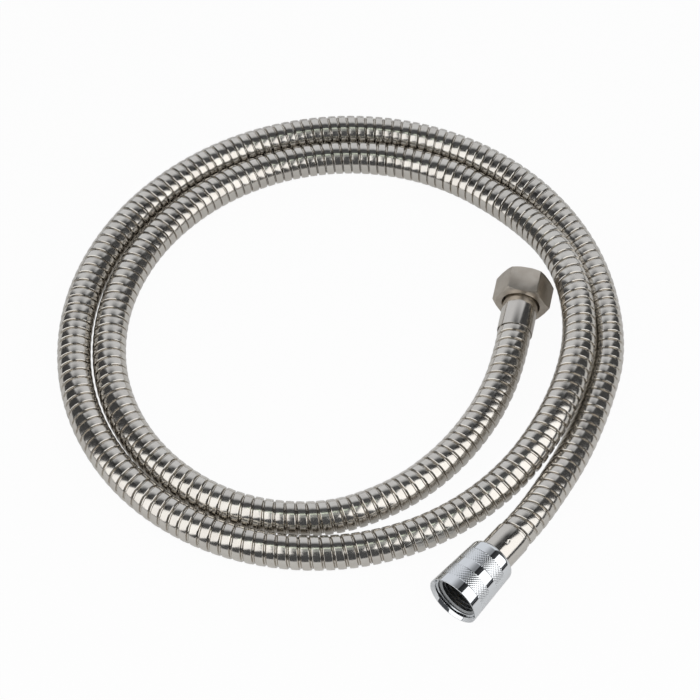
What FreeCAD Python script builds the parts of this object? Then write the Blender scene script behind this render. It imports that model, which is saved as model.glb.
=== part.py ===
import FreeCAD, Part
import math
import os

# A flexible stainless steel shower hose, lying in a loose coil of a little over two turns.
# One end has a hexagon union nut, which lies inside the loops. The other has a round grip nut.
# Millimetres, +Z up. The origin is on the floor, under the middle of the coil's box.

Vector = FreeCAD.Vector
UP = Vector(0, 0, 1)

# The strip-wound sheath
sheath_dia = 16.0
groove_depth = 0.8
groove_width = 1.6
rib_count = 130
ribs_per_bore_step = 2
sheath_wall = 1.9

# The rubber liner that carries the water
liner_clearance = 0.2
liner_wall = 1.7

# The coil: its middle, and how the centreline goes round it
coil_centre = Vector(0.2, 14.0, 0)
first_loop_radius = 101.1
gap_between_loops = 0.6
sideways_shift = 6.5
shift_heading_deg = -134.0
oval_amount = 3.2
oval_heading_deg = 46.0
spiral_start_deg = -89.0
coil_start_deg = -116.5
points_per_turn = 16
coil_points = 28

# The second loop climbs on the hexagon nut's corner and leans out against the third
ride_lift = 11.5
ride_climb_deg = (-50.0, -12.0)
ride_descent_deg = (20.0, 70.0)
lean_out = 3.2
lean_start_deg = (-36.0, -8.0)
lean_ease = 0.40
lean_ease_deg = (0.0, 20.0)
lean_end_deg = (40.0, 80.0)

# The slip ring fits round the ferrule, and the G1/2 pipe thread passes over the ring: 18.631 mm
# minor and 20.955 mm major diameter. The thread is a plain bore of the minor diameter.
ring_clearance = 0.15
ring_wall = 0.5155
ring_outer_clearance = 0.2
ring_thickness = 0.8
thread_depth = 1.162
relief_clearance = 0.12
entry_chamfer = 0.9

# The pieces that both ends share. Places along an end's axis are measured from the
# seat, which is the face of the nipple's flange, and are positive towards the mouth.
flange_clearance = 0.12
flange_thickness = 2.0
neck_clearance = 0.1
neck_length = 1.7
stem_clearance = 0.1
barb_height = 0.4
barb_count = 3
barb_pitch = 4.2
nipple_bore_dia = 6.0
washer_clearance = 0.2
washer_bore_dia = 10.0
washer_thickness = 1.8
ferrule_clearance = 0.1
ferrule_wall = 0.35
ferrule_lip = 1.2
ferrule_lip_gap = 0.2
nut_hole_clearance = 0.3
piece_gap = 0.06
hose_end_gap = 0.3

# The hexagon union nut, 24 mm across flats
hex_wall = 1.5225
hex_length = 13.8
hex_back_wall = 2.2
hex_chamfer_margin = 0.2
hex_chamfer_deg = 30.0
hex_ferrule_length = 21.7
hex_seat_xy = (86.5, 30.7)
hex_heading_deg = 78.0

# The round grip nut
grip_back_wall = 2.25
grip_rim_wall = 1.75
grip_front = 13.0
grip_back = 16.5
grip_shoulder = 2.4
grip_rim_chamfer = 0.5
grip_recess_clearance = 0.6225
grip_recess_depth = 2.5
grip_ferrule_length = 30.0
grip_seat_xy = (58.0, -126.8)
grip_heading_deg = -130.0

# Hand-set route points between the coil and each end's straight part
hex_side_points = [
    Vector(74.5, -19.5, 11.0),
    Vector(64.5, -39.5, 9.0),
    Vector(47.5, -61.5, 8.0),
    Vector(24.0, -80.5, 8.0),
    Vector(-9.0, -93.0, 8.0),
]
grip_side_points = [
    Vector(118.5, -29.0, 8.0),
    Vector(107.5, -56.0, 8.0),
    Vector(95.0, -78.5, 10.9),
]
hex_straight_run = (20.0, 34.0)
grip_straight_run = (24.0, 43.0)

# How the finished route is measured
gap_step = 2.0
gap_skip = 150.0

rest_height = sheath_dia / 2
growth_per_turn = sheath_dia + gap_between_loops
sheath_start = flange_thickness + neck_length + hose_end_gap
sheath_bore_dia = sheath_dia - 2 * sheath_wall
liner_dia = sheath_bore_dia - 2 * liner_clearance
liner_bore_dia = liner_dia - 2 * liner_wall
neck_dia = sheath_bore_dia - 2 * neck_clearance
ferrule_bore_dia = sheath_dia + 2 * ferrule_clearance
ferrule_dia = ferrule_bore_dia + 2 * ferrule_wall
ring_bore_dia = ferrule_dia + 2 * ring_clearance
ring_dia = ring_bore_dia + 2 * ring_wall
thread_minor_dia = ring_dia + 2 * ring_outer_clearance
thread_major_dia = thread_minor_dia + 2 * thread_depth
thread_relief_dia = thread_major_dia + 2 * relief_clearance
flange_dia = thread_minor_dia - 2 * flange_clearance
washer_dia = thread_minor_dia - 2 * washer_clearance
nut_hole_dia = ferrule_dia + 2 * nut_hole_clearance
hex_across_flats = thread_major_dia + 2 * hex_wall
hex_chamfer_dia = hex_across_flats + 2 * hex_chamfer_margin
grip_back_dia = nut_hole_dia + 2 * grip_back_wall
grip_recess_dia = thread_major_dia + 2 * grip_recess_clearance
grip_mouth_dia = grip_recess_dia + 2 * grip_rim_wall
ring_back = -flange_thickness - piece_gap - ring_thickness
nut_step = ring_back - piece_gap


def heading(degrees):
    """A level unit vector at this heading, turned from +X towards +Y."""
    return Vector(math.cos(math.radians(degrees)), math.sin(math.radians(degrees)), 0)


def ease(value, limits):
    """A smooth step from 0 at the first limit to 1 at the second."""
    share = min(max((value - limits[0]) / (limits[1] - limits[0]), 0.0), 1.0)
    return share * share * (3 - 2 * share)


hex_axis = heading(hex_heading_deg)
hex_seat = Vector(hex_seat_xy[0], hex_seat_xy[1], hex_across_flats / 2)
grip_axis = heading(grip_heading_deg)
grip_seat = Vector(grip_seat_xy[0], grip_seat_xy[1], grip_mouth_dia / 2)


def coil_point(index):
    """One control point of the coil, counted clockwise as seen from above."""
    step_deg = 360.0 / points_per_turn
    angle_deg = coil_start_deg - index * step_deg
    turns = (spiral_start_deg - angle_deg) / 360.0
    past_side_deg = -angle_deg - 360.0
    lift = ease(past_side_deg, ride_climb_deg) * (1 - ease(past_side_deg, ride_descent_deg))
    lean = ease(past_side_deg, lean_start_deg) * (1 - ease(past_side_deg, lean_end_deg))
    lean = lean * (1 - lean_ease * ease(past_side_deg, lean_ease_deg))
    radius = first_loop_radius + growth_per_turn * turns
    radius += sideways_shift * math.cos(math.radians(angle_deg - shift_heading_deg))
    radius += oval_amount * math.cos(math.radians(2 * (angle_deg - oval_heading_deg)))
    radius += lean_out * lean
    outside = radius / math.cos(math.pi / points_per_turn)
    return coil_centre + heading(angle_deg) * outside + UP * (rest_height + ride_lift * lift)


def route_points():
    """The control points of the whole centreline, from the hexagon nut to the grip nut."""
    points = [hex_seat - hex_axis * sheath_start]
    points += [hex_seat - hex_axis * back for back in hex_straight_run]
    points += hex_side_points
    points += [coil_point(index) for index in range(coil_points)]
    points += grip_side_points
    points += [grip_seat - grip_axis * back for back in reversed(grip_straight_run)]
    points += [grip_seat - grip_axis * sheath_start]
    return points


def smooth_route(points):
    """The quadratic curve that follows the control points and touches the first and last."""
    spans = len(points) - 2
    curve = Part.BSplineCurve()
    multiplicities = [3] + [1] * (spans - 1) + [3]
    knots = [float(knot) for knot in range(spans + 1)]
    curve.buildFromPolesMultsKnots(points, multiplicities, knots, False, 2)
    return curve


route = smooth_route(route_points())
route_length = route.length()


def place_on_route(distance):
    """The centre and direction of the route at a distance from the hexagon nut's end."""
    if distance <= 0:
        parameter = route.FirstParameter
    elif distance >= route_length:
        parameter = route.LastParameter
    else:
        parameter = route.parameterAtDistance(distance, route.FirstParameter)
    direction = Vector(*route.tangent(parameter)[0])
    direction.normalize()
    return route.value(parameter), direction


def ring_wire(distance, radius):
    """A circle square to the route, whose X axis always points as far up as it can."""
    centre, direction = place_on_route(distance)
    upright = UP - direction * UP.dot(direction)
    upright.normalize()
    turn = FreeCAD.Rotation(upright, direction.cross(upright), direction, "ZXY")
    circle = Part.makeCircle(radius)
    circle.Placement = FreeCAD.Placement(centre, turn)
    return Part.Wire([circle])


def tube_along_route(stations):
    """A ruled solid through circles, each given as a distance and a radius."""
    wires = [ring_wire(distance, radius) for distance, radius in stations]
    return Part.makeLoft(wires, True, True)


def rib_stations():
    """Each rib rises from a groove's root, runs level along its crest and drops again."""
    pitch = route_length / rib_count
    crest = sheath_dia / 2
    root = crest - groove_depth
    flank = groove_width / 2
    stations = [(0.0, root)]
    for rib in range(rib_count):
        start = rib * pitch
        stations.append((start + flank, crest))
        stations.append((start + pitch - flank, crest))
        stations.append((start + pitch, root))
    return stations


def bore_stations(diameter):
    """Plain stations for the sheath's bore and the liner, a few ribs apart."""
    steps = rib_count // ribs_per_bore_step
    return [(route_length * step / steps, diameter / 2) for step in range(steps + 1)]


def make_sheath():
    return tube_along_route(rib_stations()).cut(tube_along_route(bore_stations(sheath_bore_dia)))


def make_liner():
    outside = tube_along_route(bore_stations(liner_dia))
    return outside.cut(tube_along_route(bore_stations(liner_bore_dia)))


def turned(profile):
    """A solid turned about +Z from a closed profile of radius and height pairs."""
    corners = [Vector(radius, 0, height) for radius, height in profile]
    face = Part.Face(Part.makePolygon(corners + [corners[0]]))
    return face.revolve(Vector(0, 0, 0), UP, 360)


def sleeve(outer_dia, inner_dia, bottom, top):
    outside = Part.makeCylinder(outer_dia / 2, top - bottom, Vector(0, 0, bottom))
    return outside.cut(Part.makeCylinder(inner_dia / 2, top - bottom, Vector(0, 0, bottom)))


def make_nipple():
    """A flange, a neck behind it and a barbed stem inside the liner, with one bore through."""
    ridge = liner_bore_dia / 2 - stem_clearance
    stem = ridge - barb_height
    bore = nipple_bore_dia / 2
    neck_end = -flange_thickness - neck_length
    profile = [(bore, 0), (flange_dia / 2, 0), (flange_dia / 2, -flange_thickness)]
    profile += [(neck_dia / 2, -flange_thickness), (neck_dia / 2, neck_end), (stem, neck_end)]
    for barb in range(barb_count):
        top = neck_end - (barb + 0.35) * barb_pitch
        profile += [(stem, top), (ridge, top), (stem, top - 0.65 * barb_pitch)]
    profile.append((bore, profile[-1][1]))
    return turned(profile)


def make_washer():
    return sleeve(washer_dia, washer_bore_dia, 0, washer_thickness)


def make_slip_ring():
    return sleeve(ring_dia, ring_bore_dia, ring_back, ring_back + ring_thickness)


def make_ferrule(length):
    """A thin sleeve crimped over the sheath, with a lip turned in behind the flange."""
    front = -flange_thickness - ferrule_lip_gap
    lip_bore = neck_dia + 2 * ferrule_lip_gap
    outside = Part.makeCylinder(ferrule_dia / 2, length + front, Vector(0, 0, -length))
    pocket_depth = length + front - ferrule_lip
    pocket = Part.makeCylinder(ferrule_bore_dia / 2, pocket_depth, Vector(0, 0, -length))
    lip = Part.makeCylinder(lip_bore / 2, length, Vector(0, 0, -length))
    return outside.cut(pocket).cut(lip)


def threaded_cavity(back, thread_end, mouth):
    """What is cut from a nut: hole, relief round the flange, thread bore and lead-in."""
    hole = nut_hole_dia / 2
    relief = thread_relief_dia / 2
    minor = thread_minor_dia / 2
    lead = minor + entry_chamfer
    profile = [(0, back), (hole, back), (hole, nut_step), (relief, nut_step)]
    profile += [(relief, washer_thickness), (minor, washer_thickness)]
    profile += [(minor, thread_end - entry_chamfer), (lead, thread_end), (lead, mouth), (0, mouth)]
    return turned(profile)


def make_hex_nut():
    """A hexagon prism with 30 degree chamfers at both ends and a flat facing up."""
    back = nut_step - hex_back_wall
    mouth = back + hex_length
    corner = hex_across_flats / 2 / math.cos(math.radians(30))
    corners = [heading(60 * side + 30) * corner for side in range(6)]
    outline = Part.Face(Part.makePolygon(corners + [corners[0]]))
    outline.translate(UP * back)
    prism = outline.extrude(UP * hex_length)
    end_radius = hex_chamfer_dia / 2
    drop = (corner - end_radius) * math.tan(math.radians(hex_chamfer_deg))
    envelope = [(0, back), (end_radius, back), (corner, back + drop)]
    envelope += [(corner, mouth - drop), (end_radius, mouth), (0, mouth)]
    body = prism.common(turned(envelope))
    return body.cut(threaded_cavity(back, mouth, mouth))


def make_grip_nut():
    """A tapered round nut with a rounded back shoulder and a recessed mouth."""
    back_radius = grip_back_dia / 2
    rim_radius = grip_mouth_dia / 2
    rim_inside = rim_radius - grip_rim_chamfer
    profile = [(0, -grip_back), (back_radius, -grip_back), (rim_radius, grip_front - grip_rim_chamfer)]
    profile += [(rim_inside, grip_front), (0, grip_front)]
    body = turned(profile)
    shoulder = [edge for edge in body.Edges if edge.BoundBox.ZMax < -grip_back + piece_gap]
    body = body.makeFillet(grip_shoulder, [max(shoulder, key=lambda edge: edge.Length)])
    thread_end = grip_front - grip_recess_depth
    body = body.cut(threaded_cavity(-grip_back, thread_end, grip_front))
    recess = Vector(0, 0, thread_end)
    return body.cut(Part.makeCylinder(grip_recess_dia / 2, grip_recess_depth, recess))


def stand_at(shape, seat, axis):
    """Moves a piece from its own axis to an end of the hose, keeping a flat side up."""
    placed = shape.copy()
    turn = FreeCAD.Rotation(UP, axis.cross(UP), axis, "ZXY")
    placed.Placement = FreeCAD.Placement(seat, turn)
    return placed


def build_parts():
    """Every piece of the hose under its own name, in place."""
    at_hex = {
        "hex_nut": make_hex_nut(),
        "hex_slip_ring": make_slip_ring(),
        "hex_washer": make_washer(),
        "hex_nipple": make_nipple(),
        "hex_ferrule": make_ferrule(hex_ferrule_length),
    }
    at_grip = {
        "grip_nut": make_grip_nut(),
        "grip_slip_ring": make_slip_ring(),
        "grip_washer": make_washer(),
        "grip_nipple": make_nipple(),
        "grip_ferrule": make_ferrule(grip_ferrule_length),
    }
    pieces = {"outer_sheath": make_sheath(), "inner_liner": make_liner()}
    for name, shape in at_hex.items():
        pieces[name] = stand_at(shape, hex_seat, hex_axis)
    for name, shape in at_grip.items():
        pieces[name] = stand_at(shape, grip_seat, grip_axis)
    return pieces


def least_gap():
    """The least clear space between the sheath's loops, measured on points."""
    count = int(route_length / gap_step)
    points = [place_on_route(index * gap_step)[0] for index in range(count)]
    apart = int(gap_skip / gap_step)
    least = route_length
    for first in range(count):
        for second in range(first + apart, count):
            least = min(least, points[first].distanceToPoint(points[second]))
    return least - sheath_dia


def bend_radii():
    """The route's radius at the middle of each stretch between two control points."""
    spans = len(route_points()) - 2
    bends = [route.curvature(span + 0.5) for span in range(spans)]
    return [round(1 / bend) if bend > 1e-6 else "straight" for bend in bends]


if __name__ == "__main__":
    os.makedirs("parts", exist_ok=True)
    for name, shape in build_parts().items():
        shape.exportStep("parts/" + name + ".step")
        print(name, "solids", len(shape.Solids), "valid", shape.isValid(), "volume", round(shape.Volume, 1))
    print("route length", round(route_length, 1))
    print("route radii", bend_radii())
    print("least gap between loops", round(least_gap(), 2))
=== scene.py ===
"""Looks of a flexible strip-wound shower hose, lying in a loose coil.

The scene is in metres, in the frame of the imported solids: +Z up, the floor at zero. The sizes
of the hose and of its two ends are written in millimetres and degrees.
"""

import logging
import math
from collections.abc import Iterator
from contextlib import contextmanager
from dataclasses import dataclass
from enum import Enum

import bpy
import numpy as np
from mathutils import Matrix, Vector


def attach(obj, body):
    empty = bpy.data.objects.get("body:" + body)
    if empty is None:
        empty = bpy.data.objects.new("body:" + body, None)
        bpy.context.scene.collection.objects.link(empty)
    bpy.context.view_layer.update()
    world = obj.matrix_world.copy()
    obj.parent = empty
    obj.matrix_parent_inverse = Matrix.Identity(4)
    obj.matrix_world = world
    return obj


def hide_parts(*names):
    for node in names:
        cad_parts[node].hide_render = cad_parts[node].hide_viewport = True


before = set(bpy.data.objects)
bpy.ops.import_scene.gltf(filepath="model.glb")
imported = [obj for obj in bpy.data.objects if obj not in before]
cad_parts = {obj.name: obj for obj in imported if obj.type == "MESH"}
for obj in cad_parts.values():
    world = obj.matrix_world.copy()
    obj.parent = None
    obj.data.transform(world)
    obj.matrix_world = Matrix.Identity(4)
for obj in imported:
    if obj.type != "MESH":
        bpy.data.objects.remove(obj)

LOG = logging.getLogger("hose")
MM = 0.001
UP = Vector((0.0, 0.0, 1.0))
WHITE = "#FFFFFF"
# What a lamp of brightness 1 takes, in watts per square metre
WATTS_PER_AREA = 4.0
# Points of a turned shape that lie closer than this are one point
MERGE_MM = 0.002
# A point that lies closer than this to a surface or an edge counts as on it
NEAR_MM = 0.01
# Smooth shading creases the edges that are sharper than this
CREASE_DEG = 30.0
# A bevel takes the edges that are sharper than this
BEVEL_DEG = 25.0
Point = tuple[float, float, float]
Profile = list[tuple[float, float]]


# Small tools


def linear(colour: str) -> tuple[float, float, float, float]:
    """Turns an sRGB hex colour into linear RGBA.

    Args:
        colour: the colour as "#RRGGBB".

    Returns:
        Red, green, blue and an alpha of 1, each from 0 to 1.
    """
    parts = [int(colour[place : place + 2], 16) / 255 for place in (1, 3, 5)]
    light = [p / 12.92 if p <= 0.04045 else ((p + 0.055) / 1.055) ** 2.4 for p in parts]
    return (light[0], light[1], light[2], 1.0)


def add_node(
    tree: bpy.types.NodeTree,
    kind: str,
    settings: dict | None = None,
    links: dict | None = None,
) -> bpy.types.Node:
    """Adds a shader node with its settings and what feeds it.

    Args:
        tree: the node tree that takes the node.
        kind: the node's type name.
        settings: a node property by its name, or an input's value by its name or number.
        links: the output socket that feeds an input, by the input's name or number.

    Returns:
        The new node.
    """
    node = tree.nodes.new(kind)
    for key, value in (settings or {}).items():
        if isinstance(key, str) and hasattr(node, key):
            setattr(node, key, value)
        else:
            node.inputs[key].default_value = value
    for key, socket in (links or {}).items():
        tree.links.new(socket, node.inputs[key])
    return node


def deselect() -> None:
    """Leaves edit mode and deselects every object."""
    if bpy.context.object and bpy.context.object.mode != "OBJECT":
        bpy.ops.object.mode_set(mode="OBJECT")
    bpy.ops.object.select_all(action="DESELECT")


def make_active(piece: bpy.types.Object) -> None:
    """Makes one object the only selected one, and the active one.

    Args:
        piece: the object.
    """
    deselect()
    piece.select_set(True)
    bpy.context.view_layer.objects.active = piece


@contextmanager
def edit_mode(select: str = "SELECT") -> Iterator[None]:
    """Keeps the active piece in edit mode, with all or nothing of it selected at the start.

    Args:
        select: the select_all action to start with.
    """
    bpy.ops.object.mode_set(mode="EDIT")
    bpy.ops.mesh.select_all(action=select)
    yield
    bpy.ops.object.mode_set(mode="OBJECT")


def heading(degrees: float) -> Vector:
    """A level unit vector at this heading, turned from +X towards +Y."""
    return Vector((math.cos(math.radians(degrees)), math.sin(math.radians(degrees)), 0.0))


def ease(value: float, limits: tuple[float, float]) -> float:
    """A smooth step from 0 at the first limit to 1 at the second."""
    share = min(max((value - limits[0]) / (limits[1] - limits[0]), 0.0), 1.0)
    return share * share * (3 - 2 * share)


# Finishes


class Reads(Enum):
    """The coordinates that a finish's pattern is laid out on."""

    OBJECT = "Object"
    UV = "UV"


def empty_material(name: str) -> bpy.types.Material:
    """Makes a material whose node tree is empty.

    Args:
        name: the material's name.

    Returns:
        The new material.
    """
    made = bpy.data.materials.new(name)
    made.use_nodes = True
    made.node_tree.nodes.clear()
    return made


@dataclass(frozen=True)
class Finish:
    """One finish: a metal, rubber or plastic with a fine grain, or a flat painted shade.

    The grain's three sizes are in millimetres, along the axes of its coordinates.
    The two ranges are the part of the noise that goes from one value to the other.
    """

    name: str
    colour: str
    roughness: float
    metallic: float = 1.0
    second_colour: str = ""
    patch_mm: float = 12.0
    roughness_spread: float = 0.0
    grain_mm: tuple[float, float, float] = (1.0, 1.0, 1.0)
    grain_height_mm: float = 0.0
    reads: Reads = Reads.OBJECT
    patch_range: tuple[float, float] = (0.35, 0.65)
    patch_detail: float = 2.0
    grain_range: tuple[float, float] = (0.3, 0.7)
    grain_detail: float = 3.0

    def material(self) -> bpy.types.Material:
        """Makes the material, or gives the one that is there already.

        Returns:
            The material of this finish.
        """
        known = bpy.data.materials.get(self.name)
        if known:
            return known
        made = empty_material(self.name)
        tree = made.node_tree
        surface = {"Base Color": linear(self.colour), "Metallic": self.metallic}
        surface["Roughness"] = self.roughness
        shader = add_node(tree, "ShaderNodeBsdfPrincipled", surface)
        add_node(tree, "ShaderNodeOutputMaterial", links={"Surface": shader.outputs[0]})
        place = add_node(tree, "ShaderNodeTexCoord").outputs[self.reads.value]
        if self.second_colour:
            self._add_patches(tree, shader, place)
        if self.roughness_spread or self.grain_height_mm:
            self._add_grain(tree, shader, place)
        return made

    def _add_patches(
        self, tree: bpy.types.NodeTree, shader: bpy.types.Node, place: bpy.types.NodeSocket
    ) -> None:
        """Shades the colour softly from the first to the second over patches.

        Args:
            tree: the material's node tree.
            shader: the node that gets the colour.
            place: the coordinates of the pattern.
        """
        patches = add_node(
            tree,
            "ShaderNodeTexNoise",
            {"Scale": 1 / (self.patch_mm * MM), "Detail": self.patch_detail},
            {"Vector": place},
        )
        share = add_node(
            tree,
            "ShaderNodeMapRange",
            {"From Min": self.patch_range[0], "From Max": self.patch_range[1]},
            {"Value": patches.outputs["Fac"]},
        )
        mix = add_node(
            tree,
            "ShaderNodeMix",
            {"data_type": "RGBA", 6: linear(self.colour), 7: linear(self.second_colour)},
            {0: share.outputs[0]},
        )
        tree.links.new(mix.outputs[2], shader.inputs["Base Color"])

    def _add_grain(
        self, tree: bpy.types.NodeTree, shader: bpy.types.Node, place: bpy.types.NodeSocket
    ) -> None:
        """Varies the roughness along the grain, and raises the grain a little.

        Args:
            tree: the material's node tree.
            shader: the node that gets the roughness and the relief.
            place: the coordinates of the pattern.
        """
        scale = tuple(1 / (size * MM) for size in self.grain_mm)
        stretched = add_node(tree, "ShaderNodeMapping", {"Scale": scale}, {"Vector": place})
        grain = add_node(
            tree,
            "ShaderNodeTexNoise",
            {"Scale": 1.0, "Detail": self.grain_detail},
            {"Vector": stretched.outputs[0]},
        )
        if self.roughness_spread:
            rough = add_node(
                tree,
                "ShaderNodeMapRange",
                {
                    "From Min": self.grain_range[0],
                    "From Max": self.grain_range[1],
                    "To Min": self.roughness - self.roughness_spread,
                    "To Max": self.roughness + self.roughness_spread,
                },
                {"Value": grain.outputs["Fac"]},
            )
            tree.links.new(rough.outputs[0], shader.inputs["Roughness"])
        if self.grain_height_mm:
            bump = add_node(
                tree,
                "ShaderNodeBump",
                {"Strength": 1.0, "Distance": self.grain_height_mm * MM},
                {"Height": grain.outputs["Fac"]},
            )
            tree.links.new(bump.outputs[0], shader.inputs["Normal"])


# Rolled stainless strip: bright and faintly warm, with fine lines along the strip from the rolls.
# The real lines are too fine to show, so these are drawn coarser, about 0.35 mm wide.
ROLLED_STRIP = Finish(
    "rolled_stainless_strip",
    "#D8D4CD",
    0.17,
    second_colour="#CFCAC3",
    roughness_spread=0.04,
    grain_mm=(6.0, 0.35, 1.0),
    grain_height_mm=0.002,
    reads=Reads.UV,
)
# Painted shade on the walls and slots inside the lock, and on the bore: flat near-black brown,
# matt, not metal.
SLOT_PAINTED_SHADE = Finish("painted_slot_shade", "#17110D", 0.6, metallic=0.0)
# Pressed and polished stainless sleeve: smooth, with soft bright reflections.
POLISHED_SLEEVE = Finish(
    "polished_stainless_sleeve",
    "#D2CDC6",
    0.15,
    roughness_spread=0.03,
    grain_mm=(4.0, 4.0, 4.0),
)
# Nickel plate over turned and tumbled brass: satin, warm grey, no sharp reflection.
# The real grain is too fine to show, so this one is drawn coarser, about 0.5 mm.
SATIN_NICKEL = Finish(
    "satin_nickel_plate",
    "#C6BEB3",
    0.38,
    second_colour="#BCB3A7",
    patch_mm=5.0,
    roughness_spread=0.05,
    grain_mm=(0.5, 0.5, 0.5),
    grain_height_mm=0.004,
)
# Bright chrome plate over polished brass: a cool mirror.
BRIGHT_CHROME = Finish("bright_chrome_plate", "#E3E5E7", 0.05)
# The same plate deep in the threads and inside the nut: duller where the polish doesn't reach,
# and darker as painted shade in the hollow.
DULL_CHROME_PAINTED_SHADE = Finish("dull_chrome_plate_painted_shade", "#A9ABAC", 0.35)
# Bare turned brass, as cut: yellow and fairly bright.
TURNED_BRASS = Finish("turned_brass", "#D9B36A", 0.28)
# Moulded black rubber: matt and nearly black.
BLACK_RUBBER = Finish("black_rubber", "#1B1B1C", 0.75, metallic=0.0)
# Moulded white acetal: smooth and slightly glossy.
WHITE_ACETAL = Finish("white_acetal", "#E4E3DD", 0.35, metallic=0.0)


def dress(piece: bpy.types.Object, *finishes: Finish) -> None:
    """Gives a piece these finishes, in the order of its faces' material numbers.

    Args:
        piece: the object.
        finishes: one finish for each material number.
    """
    piece.data.materials.clear()
    for finish in finishes:
        piece.data.materials.append(finish.material())


# Shapes


def turned(name: str, profile: Profile, steps: int) -> bpy.types.Object:
    """Turns a closed profile about +Z, drawn by extruding one point after another.

    Args:
        name: the new object's name.
        profile: radius and height of each corner, in millimetres.
        steps: how many faces go round.

    Returns:
        The turned object, with its faces pointing outwards.
    """
    deselect()
    bpy.ops.mesh.primitive_plane_add(size=MM, location=(0.0, 0.0, 0.0))
    piece = bpy.context.object
    piece.name = name
    with edit_mode():
        bpy.ops.mesh.merge(type="CENTER")
        here = (0.0, 0.0)
        for number, corner in enumerate(profile + [profile[0]]):
            move = ((corner[0] - here[0]) * MM, 0.0, (corner[1] - here[1]) * MM)
            if number == 0:
                bpy.ops.transform.translate(value=move)
            else:
                bpy.ops.mesh.extrude_region_move(TRANSFORM_OT_translate={"value": move})
            here = corner
        bpy.ops.mesh.select_all(action="SELECT")
        bpy.ops.mesh.spin(steps=steps, angle=math.tau, center=(0, 0, 0), axis=(0, 0, 1))
        bpy.ops.mesh.select_all(action="SELECT")
        bpy.ops.mesh.remove_doubles(threshold=MERGE_MM * MM)
        bpy.ops.mesh.normals_make_consistent(inside=False)
    return piece


def rounded(profile: Profile, radii: dict[int, float], steps: int = 4) -> Profile:
    """Rounds some corners of a closed profile.

    Args:
        profile: radius and height of each corner.
        radii: the rounding of a corner, by the corner's number.
        steps: how many edges each rounding has.

    Returns:
        The profile with an arc in place of each of those corners.
    """
    corners = []
    for number, corner in enumerate(profile):
        if number not in radii:
            corners.append(corner)
            continue
        here = Vector(corner)
        before = (Vector(profile[number - 1]) - here).normalized()
        after = (Vector(profile[(number + 1) % len(profile)]) - here).normalized()
        half = before.angle(after) / 2
        reach = radii[number] / math.tan(half)
        middle = here + (before + after).normalized() * (radii[number] / math.sin(half))
        start = here + before * reach - middle
        end = here + after * reach - middle
        for step in range(steps + 1):
            spoke = start.lerp(end, step / steps).normalized() * radii[number]
            corners.append(tuple(middle + spoke))
    return corners


def outer_wall(profile: Profile) -> int:
    """Finds the outer wall, which is a closed profile's longest rise.

    Args:
        profile: radius and height of each corner.

    Returns:
        The number of the corner at the wall's foot.
    """
    rises = [upper[1] - lower[1] for lower, upper in zip(profile, profile[1:] + profile[:1])]
    return rises.index(max(rises))


def cut(piece: bpy.types.Object, tool: bpy.types.Object, operation: str) -> None:
    """Applies a Boolean of the piece with a tool, and deletes the tool.

    Args:
        piece: the object that is cut.
        tool: the closed shape that cuts it.
        operation: INTERSECT or DIFFERENCE.
    """
    make_active(piece)
    boolean = piece.modifiers.new("cut", "BOOLEAN")
    boolean.operation = operation
    boolean.solver = "EXACT"
    boolean.object = tool
    bpy.ops.object.modifier_apply(modifier=boolean.name)
    bpy.data.objects.remove(tool)


def soften(piece: bpy.types.Object, width_mm: float, segments: int = 2) -> None:
    """Bevels the sharp edges of a piece and applies the bevel.

    Args:
        piece: the object.
        width_mm: the bevel's width.
        segments: how many edges round it.
    """
    make_active(piece)
    bevel = piece.modifiers.new("edges", "BEVEL")
    bevel.width = width_mm * MM
    bevel.segments = segments
    bevel.limit_method = "ANGLE"
    bevel.angle_limit = math.radians(BEVEL_DEG)
    bpy.ops.object.modifier_apply(modifier=bevel.name)


def smooth(piece: bpy.types.Object, degrees: float = CREASE_DEG) -> None:
    """Shades a piece smooth, with a crease at each edge sharper than this.

    Args:
        piece: the object.
        degrees: the angle from which an edge is creased.
    """
    make_active(piece)
    bpy.ops.object.shade_smooth_by_angle(angle=math.radians(degrees))


@dataclass
class HoseEnd:
    """The seat and axis of one end of the hose. Places along it count from the seat."""

    seat_mm: tuple[float, float, float]
    heading_deg: float

    @property
    def axis(self) -> Vector:
        """The way out of the mouth."""
        return heading(self.heading_deg)

    def at(self, along_mm: float) -> Vector:
        """A point on the axis, in millimetres."""
        return Vector(self.seat_mm) + self.axis * along_mm

    def stand(self, piece: bpy.types.Object) -> None:
        """Moves a piece from its own axis to this end and applies the move.

        Args:
            piece: an object that is turned about +Z, with its seat at the origin.
        """
        across = self.axis.cross(UP)
        turn = Matrix((UP, across, self.axis)).transposed().to_4x4()
        make_active(piece)
        piece.matrix_world = Matrix.Translation(Vector(self.seat_mm) * MM) @ turn
        bpy.ops.object.transform_apply(location=True, rotation=True, scale=True)


# The hose


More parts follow.
